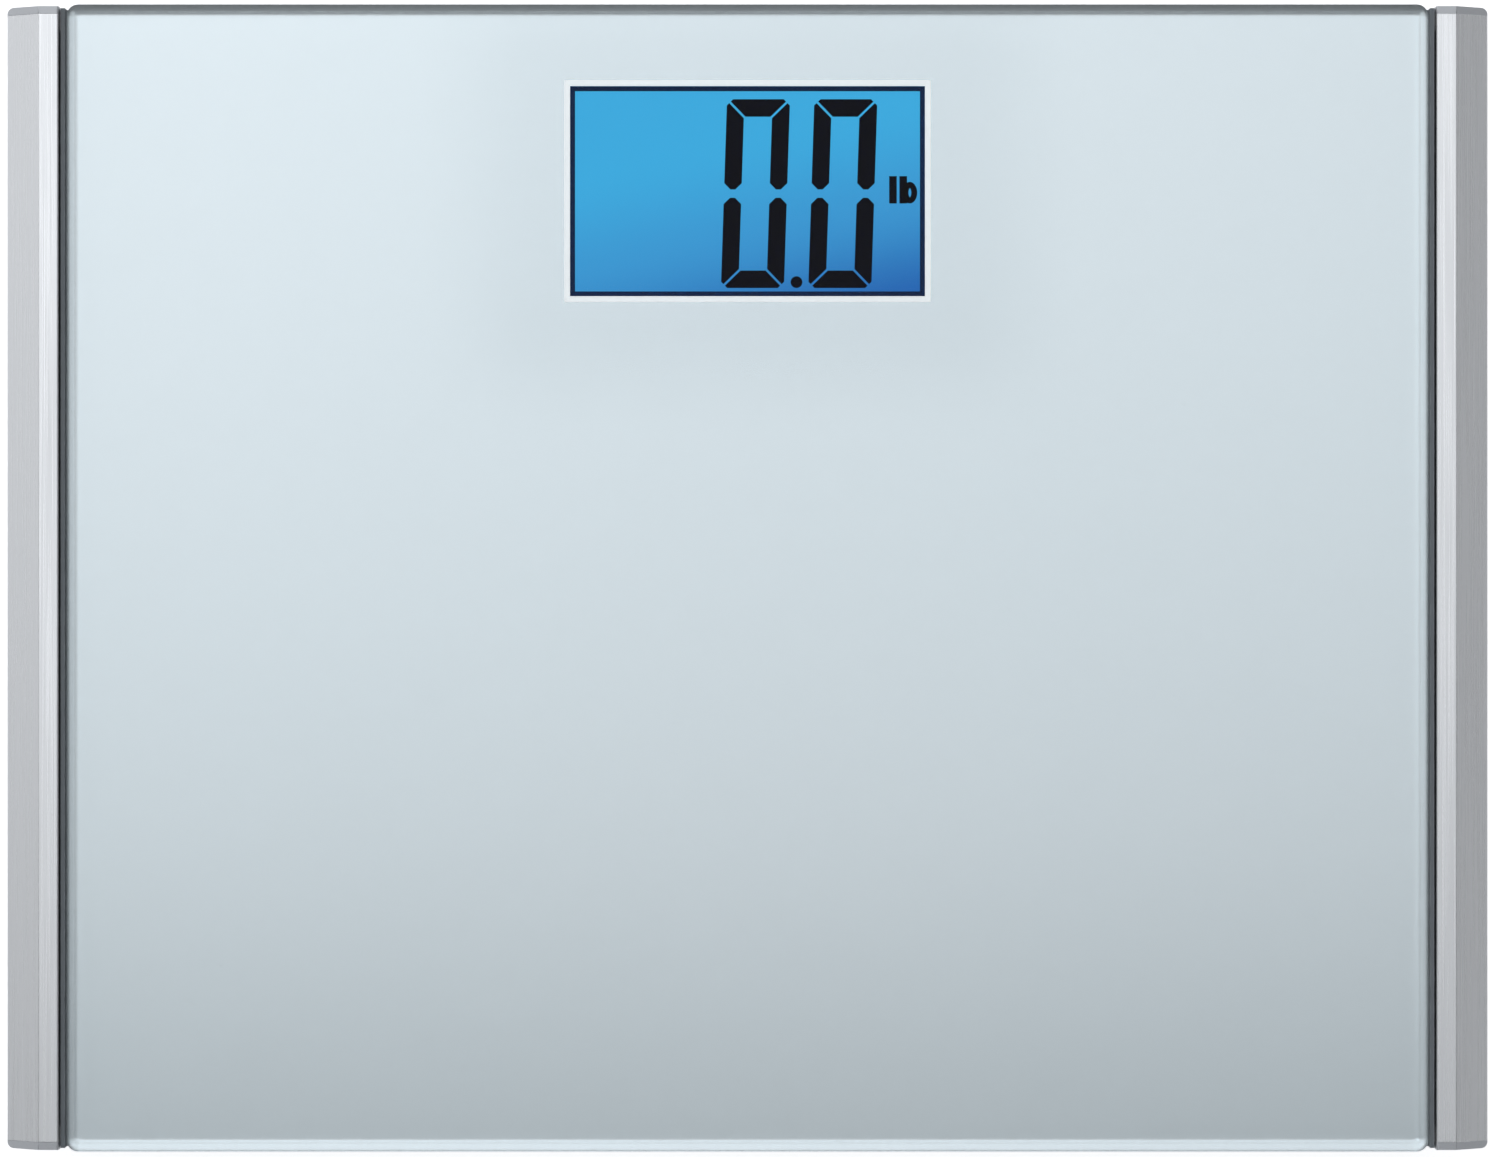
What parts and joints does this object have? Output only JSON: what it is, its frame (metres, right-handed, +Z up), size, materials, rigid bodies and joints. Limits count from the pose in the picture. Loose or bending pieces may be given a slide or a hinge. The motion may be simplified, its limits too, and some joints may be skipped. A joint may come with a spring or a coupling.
{
  "type": "digital weighing scale",
  "caption": "Low step-on digital weighing scale: bevelled glass platform with a backlit display between aluminium side rails, on load-cell feet.",
  "frame": {"origin": "on the floor, under the centre of the platform", "axes": "+X to the user's right, across the rails; +Y away from the user, to the display edge; +Z up"},
  "size_m": [0.39, 0.3014, 0.027],
  "materials": {
    "clear_glass": "clear tempered glass with a ground and polished bevel",
    "silver_film": "smooth silver coating on the back of the glass",
    "black_tape": "black foam bonding tape",
    "tray_plastic": "fine spark-textured black ABS",
    "anodised_aluminium": "satin clear-anodised extrusion with fine lengthways lines",
    "cap_plastic": "fine-textured silver-grey ABS",
    "screw_steel": "zinc-plated steel",
    "lcd_glass": "backlit liquid crystal panel with dark segments",
    "polariser_film": "polarising film",
    "white_plastic": "white moulded plastic",
    "light_guide_acrylic": "clear acrylic, lit from its left edge",
    "lamp_plastic": "surface-mount lamps on a white strip",
    "contact_rubber": "layered conductive rubber",
    "board_laminate": "glass-fibre laminate with green solder mask",
    "component_plastic": "black moulding compound",
    "plunger_plastic": "red moulded plastic",
    "button_plastic": "fine-textured grey ABS",
    "door_plastic": "fine spark-textured black ABS",
    "cell_wrap": "plain printed wrap on a steel can",
    "contact_steel": "nickel-plated steel",
    "red_wire": "red PVC insulation",
    "black_wire": "black PVC insulation",
    "clip_plastic": "black ABS",
    "label_film": "plain silver polyester label with nothing printed on it",
    "load_cell_steel": "nickel-plated spring steel",
    "gauge_coating": "white silicone coating",
    "foot_plastic": "moulded dark grey ABS",
    "pad_rubber": "matt black rubber with moulded rings"
  },
  "bodies": {
    "root": {"glass_platform": "clear_glass", "silver_backing": "silver_film", "platform_tape": "black_tape", "base_tray": "tray_plastic", "left_rail": "anodised_aluminium", "right_rail": "anodised_aluminium", "front_left_end_cap": "cap_plastic", "front_right_end_cap": "cap_plastic", "back_left_end_cap": "cap_plastic", "back_right_end_cap": "cap_plastic", "end_cap_screws": "screw_steel", "board_screws": "screw_steel", "clip_screws": "screw_steel", "lcd_panel": "lcd_glass", "lcd_polariser": "polariser_film", "lcd_bezel": "white_plastic", "cable_headers": "white_plastic", "backlight_diffuser": "white_plastic", "backlight_reflector": "white_plastic", "light_guide": "light_guide_acrylic", "backlight_leds": "lamp_plastic", "contact_strip": "contact_rubber", "circuit_board": "board_laminate", "board_components": "component_plastic", "processor_blob": "component_plastic", "switch_body": "component_plastic", "battery_cell_1": "cell_wrap", "battery_cell_2": "cell_wrap", "battery_cell_3": "cell_wrap", "battery_cell_4": "cell_wrap", "battery_springs": "contact_steel", "battery_plates": "contact_steel", "battery_lead_red": "red_wire", "battery_lead_black": "black_wire", "cell_cables": "black_wire", "cell_clips": "clip_plastic", "rating_label": "label_film", "load_cell_frame_front_left": "load_cell_steel", "load_cell_frame_front_right": "load_cell_steel", "load_cell_frame_back_left": "load_cell_steel", "load_cell_frame_back_right": "load_cell_steel"},
    "foot_front_left": {"foot_front_left": "foot_plastic", "foot_pad_front_left": "pad_rubber", "load_cell_tongue_front_left": "load_cell_steel", "strain_gauge_front_left": "gauge_coating"},
    "foot_front_right": {"foot_front_right": "foot_plastic", "foot_pad_front_right": "pad_rubber", "load_cell_tongue_front_right": "load_cell_steel", "strain_gauge_front_right": "gauge_coating"},
    "foot_back_left": {"foot_back_left": "foot_plastic", "foot_pad_back_left": "pad_rubber", "load_cell_tongue_back_left": "load_cell_steel", "strain_gauge_back_left": "gauge_coating"},
    "foot_back_right": {"foot_back_right": "foot_plastic", "foot_pad_back_right": "pad_rubber", "load_cell_tongue_back_right": "load_cell_steel", "strain_gauge_back_right": "gauge_coating"},
    "battery_door": {"battery_door": "door_plastic"},
    "unit_button": {"unit_button": "button_plastic", "switch_plunger": "plunger_plastic"}
  },
  "joints": [
    {"name": "battery_door_hinge", "type": "hinge", "parent": "root", "child": "battery_door", "pos_m": [0, 0.0021, 0.0072], "axis": [-1, 0, 0], "range_deg": [0, 90]},
    {"name": "unit_button_press", "type": "slide", "parent": "root", "child": "unit_button", "axis": [0, 0, 1], "range_m": [0, 0.0005], "stiffness_N_per_m": 2000, "springref_m": -0.0005},
    {"name": "foot_front_left_load", "type": "slide", "parent": "root", "child": "foot_front_left", "axis": [0, 0, 1], "range_m": [0, 0.0006], "stiffness_N_per_m": 1000, "springref_m": -0.01},
    {"name": "foot_front_right_load", "type": "slide", "parent": "root", "child": "foot_front_right", "axis": [0, 0, 1], "range_m": [0, 0.0006], "stiffness_N_per_m": 1000, "springref_m": -0.01},
    {"name": "foot_back_left_load", "type": "slide", "parent": "root", "child": "foot_back_left", "axis": [0, 0, 1], "range_m": [0, 0.0006], "stiffness_N_per_m": 1000, "springref_m": -0.01},
    {"name": "foot_back_right_load", "type": "slide", "parent": "root", "child": "foot_back_right", "axis": [0, 0, 1], "range_m": [0, 0.0006], "stiffness_N_per_m": 1000, "springref_m": -0.01}
  ]
}
